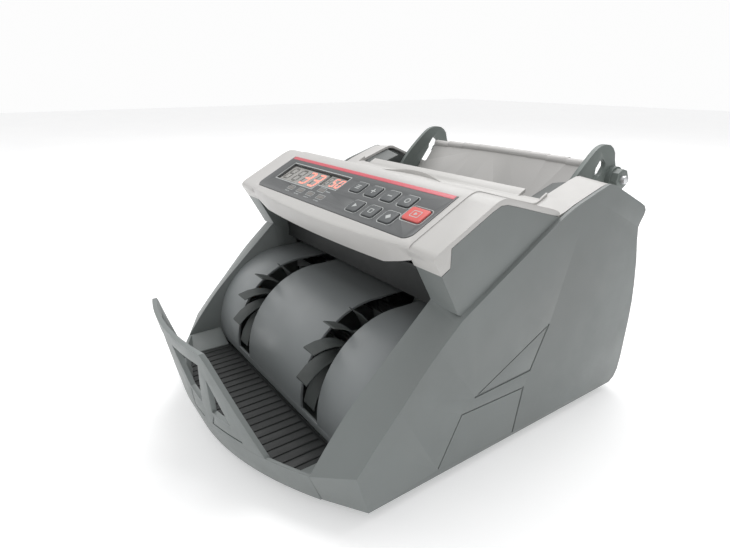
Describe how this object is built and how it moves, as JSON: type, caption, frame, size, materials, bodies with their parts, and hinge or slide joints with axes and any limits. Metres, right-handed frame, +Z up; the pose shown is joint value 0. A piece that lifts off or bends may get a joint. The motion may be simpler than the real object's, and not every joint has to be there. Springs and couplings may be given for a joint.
{
  "type": "banknote counting machine",
  "caption": "Desktop banknote counter: rear hopper with two linked note guides, roller feed, vaned stacker wheels, curved stopper tray and a sloped keypad with displays.",
  "frame": {"origin": "middle of the footprint, on the surface that the feet stand on", "axes": "+X to the right seen from the front, +Y to the rear, +Z up"},
  "size_m": [0.2456, 0.3142, 0.1807],
  "materials": {
    "light_grey_shell": "fine-textured moulded ABS, light warm grey",
    "mid_grey_shell": "fine-textured moulded ABS, mid grey",
    "guide_sheet": "smooth satin plastic sheet",
    "guide_grey": "satin moulded plastic",
    "dark_grey_plastic": "matt dark grey plastic",
    "black_plastic": "matt black plastic",
    "panel_film": "satin printed membrane",
    "stripe_film": "satin red print",
    "key_rubber": "satin silicone key",
    "start_red": "satin red silicone key",
    "display_glass": "clear grey acrylic window",
    "display_body": "grey LED display module",
    "lens_clear": "frosted light pipe",
    "circuit_board": "green solder mask",
    "zinc_steel": "zinc-plated sheet steel",
    "motor_black": "black enamel",
    "core_lacquer": "varnished laminations",
    "bronze_bush": "sintered bronze",
    "roller_rubber": "ground black rubber",
    "wheel_rubber": "flexible grey-black vanes",
    "rocker_black": "gloss black rocker"
  },
  "bodies": {
    "root": {"base_pan": "mid_grey_shell", "left_side_cover": "mid_grey_shell", "right_side_cover": "mid_grey_shell", "top_cover": "light_grey_shell", "front_lip": "mid_grey_shell", "tray_floor": "black_plastic", "stacker_stopper": "mid_grey_shell", "drum_guide": "guide_sheet", "upper_guide": "black_plastic", "bay_ceiling": "black_plastic", "hopper_tray": "dark_grey_plastic", "hopper_back": "light_grey_shell", "rear_cover": "mid_grey_shell", "left_chassis": "zinc_steel", "right_chassis": "zinc_steel", "cross_rods": "zinc_steel", "guide_rod": "zinc_steel", "control_panel": "panel_film", "panel_stripe": "stripe_film", "display_window": "display_glass", "display_board": "circuit_board", "count_display": "display_body", "preset_display": "display_body", "indicator_lenses": "lens_clear", "main_board": "circuit_board", "transformer": "core_lacquer", "motor": "motor_black", "iec_inlet": "black_plastic", "fuse_holder": "black_plastic", "display_socket": "black_plastic", "switch_bezel": "black_plastic", "feet": "roller_rubber", "cover_screws": "zinc_steel", "bearings": "bronze_bush", "sensor_bars": "black_plastic", "separation_block": "roller_rubber", "drive_belts": "roller_rubber", "pickup_belt": "roller_rubber"},
    "key_1_body": {"key_1": "key_rubber"},
    "key_2_body": {"key_2": "key_rubber"},
    "key_3_body": {"key_3": "key_rubber"},
    "key_4_body": {"key_4": "key_rubber"},
    "key_5_body": {"key_5": "key_rubber"},
    "key_6_body": {"key_6": "key_rubber"},
    "key_7_body": {"key_7": "key_rubber"},
    "start_key_body": {"start_key": "start_red"},
    "left_guide_body": {"left_guide": "guide_grey"},
    "right_guide_body": {"right_guide": "guide_grey"},
    "pinion_body": {"guide_pinion": "zinc_steel"},
    "stacker_body": {"stacker_shaft": "zinc_steel", "left_stacker_wheel": "wheel_rubber", "right_stacker_wheel": "wheel_rubber"},
    "transport_body": {"transport_rollers": "roller_rubber"},
    "feed_body": {"feed_rollers": "roller_rubber"},
    "pickup_body": {"pickup_rollers": "roller_rubber"},
    "motor_rotor_body": {"motor_shaft": "zinc_steel"},
    "rocker_body": {"power_rocker": "rocker_black"},
    "gap_knob_body": {"gap_knob": "guide_grey"}
  },
  "joints": [
    {"name": "key_1_press", "type": "slide", "parent": "root", "child": "key_1_body", "axis": [0, -0.4587, 0.8886], "range_m": [-0.0008, 0], "stiffness_N_per_m": 600, "springref_m": 0.0003},
    {"name": "key_2_press", "type": "slide", "parent": "root", "child": "key_2_body", "axis": [0, -0.4587, 0.8886], "range_m": [-0.0008, 0], "stiffness_N_per_m": 600, "springref_m": 0.0003},
    {"name": "key_3_press", "type": "slide", "parent": "root", "child": "key_3_body", "axis": [0, -0.4587, 0.8886], "range_m": [-0.0008, 0], "stiffness_N_per_m": 600, "springref_m": 0.0003},
    {"name": "key_4_press", "type": "slide", "parent": "root", "child": "key_4_body", "axis": [0, -0.4587, 0.8886], "range_m": [-0.0008, 0], "stiffness_N_per_m": 600, "springref_m": 0.0003},
    {"name": "key_5_press", "type": "slide", "parent": "root", "child": "key_5_body", "axis": [0, -0.4587, 0.8886], "range_m": [-0.0008, 0], "stiffness_N_per_m": 600, "springref_m": 0.0003},
    {"name": "key_6_press", "type": "slide", "parent": "root", "child": "key_6_body", "axis": [0, -0.4587, 0.8886], "range_m": [-0.0008, 0], "stiffness_N_per_m": 600, "springref_m": 0.0003},
    {"name": "key_7_press", "type": "slide", "parent": "root", "child": "key_7_body", "axis": [0, -0.4587, 0.8886], "range_m": [-0.0008, 0], "stiffness_N_per_m": 600, "springref_m": 0.0003},
    {"name": "start_key_press", "type": "slide", "parent": "root", "child": "start_key_body", "axis": [0, -0.4587, 0.8886], "range_m": [-0.0008, 0], "stiffness_N_per_m": 600, "springref_m": 0.0003},
    {"name": "right_guide_slide", "type": "slide", "parent": "root", "child": "right_guide_body", "axis": [1, 0, 0], "range_m": [-0.03, 0.008]},
    {"name": "left_guide_slide", "type": "slide", "parent": "root", "child": "left_guide_body", "axis": [-1, 0, 0], "range_m": [-0.03, 0.008]},
    {"name": "guide_pinion_turn", "type": "hinge", "parent": "root", "child": "pinion_body", "pos_m": [0, 0.12687, 0.14982], "axis": [0, -0.788, 0.6157], "range_deg": [-80, 290]},
    {"name": "transport_spin", "type": "hinge", "parent": "root", "child": "transport_body", "pos_m": [0, 0.03188, 0.088], "axis": [1, 0, 0], "continuous": true},
    {"name": "motor_spin", "type": "hinge", "parent": "root", "child": "motor_rotor_body", "pos_m": [0, 0.05688, 0.042], "axis": [1, 0, 0], "continuous": true},
    {"name": "feed_spin", "type": "hinge", "parent": "root", "child": "feed_body", "pos_m": [0, 0.07488, 0.09], "axis": [1, 0, 0], "continuous": true},
    {"name": "pickup_spin", "type": "hinge", "parent": "root", "child": "pickup_body", "pos_m": [0, 0.10588, 0.106], "axis": [1, 0, 0], "continuous": true},
    {"name": "stacker_spin", "type": "hinge", "parent": "root", "child": "stacker_body", "pos_m": [0, -0.05412, 0.0495], "axis": [1, 0, 0], "continuous": true},
    {"name": "power_switch", "type": "hinge", "parent": "root", "child": "rocker_body", "pos_m": [0, 0.12688, 0.033], "axis": [1, 0, 0], "range_deg": [0, 16]},
    {"name": "gap_adjust", "type": "hinge", "parent": "root", "child": "gap_knob_body", "pos_m": [0, 0.13188, 0.053], "axis": [0, 1, 0], "range_deg": [-180, 180]}
  ],
  "couplings": [
    {"joint": "left_guide_slide", "follows": "right_guide_slide", "ratio": 1},
    {"joint": "guide_pinion_turn", "follows": "right_guide_slide", "rad_per_m": -166.67},
    {"joint": "motor_spin", "follows": "transport_spin", "ratio": 2},
    {"joint": "feed_spin", "follows": "transport_spin", "ratio": 1},
    {"joint": "pickup_spin", "follows": "transport_spin", "ratio": 1},
    {"joint": "stacker_spin", "follows": "transport_spin", "ratio": 0.53333}
  ]
}
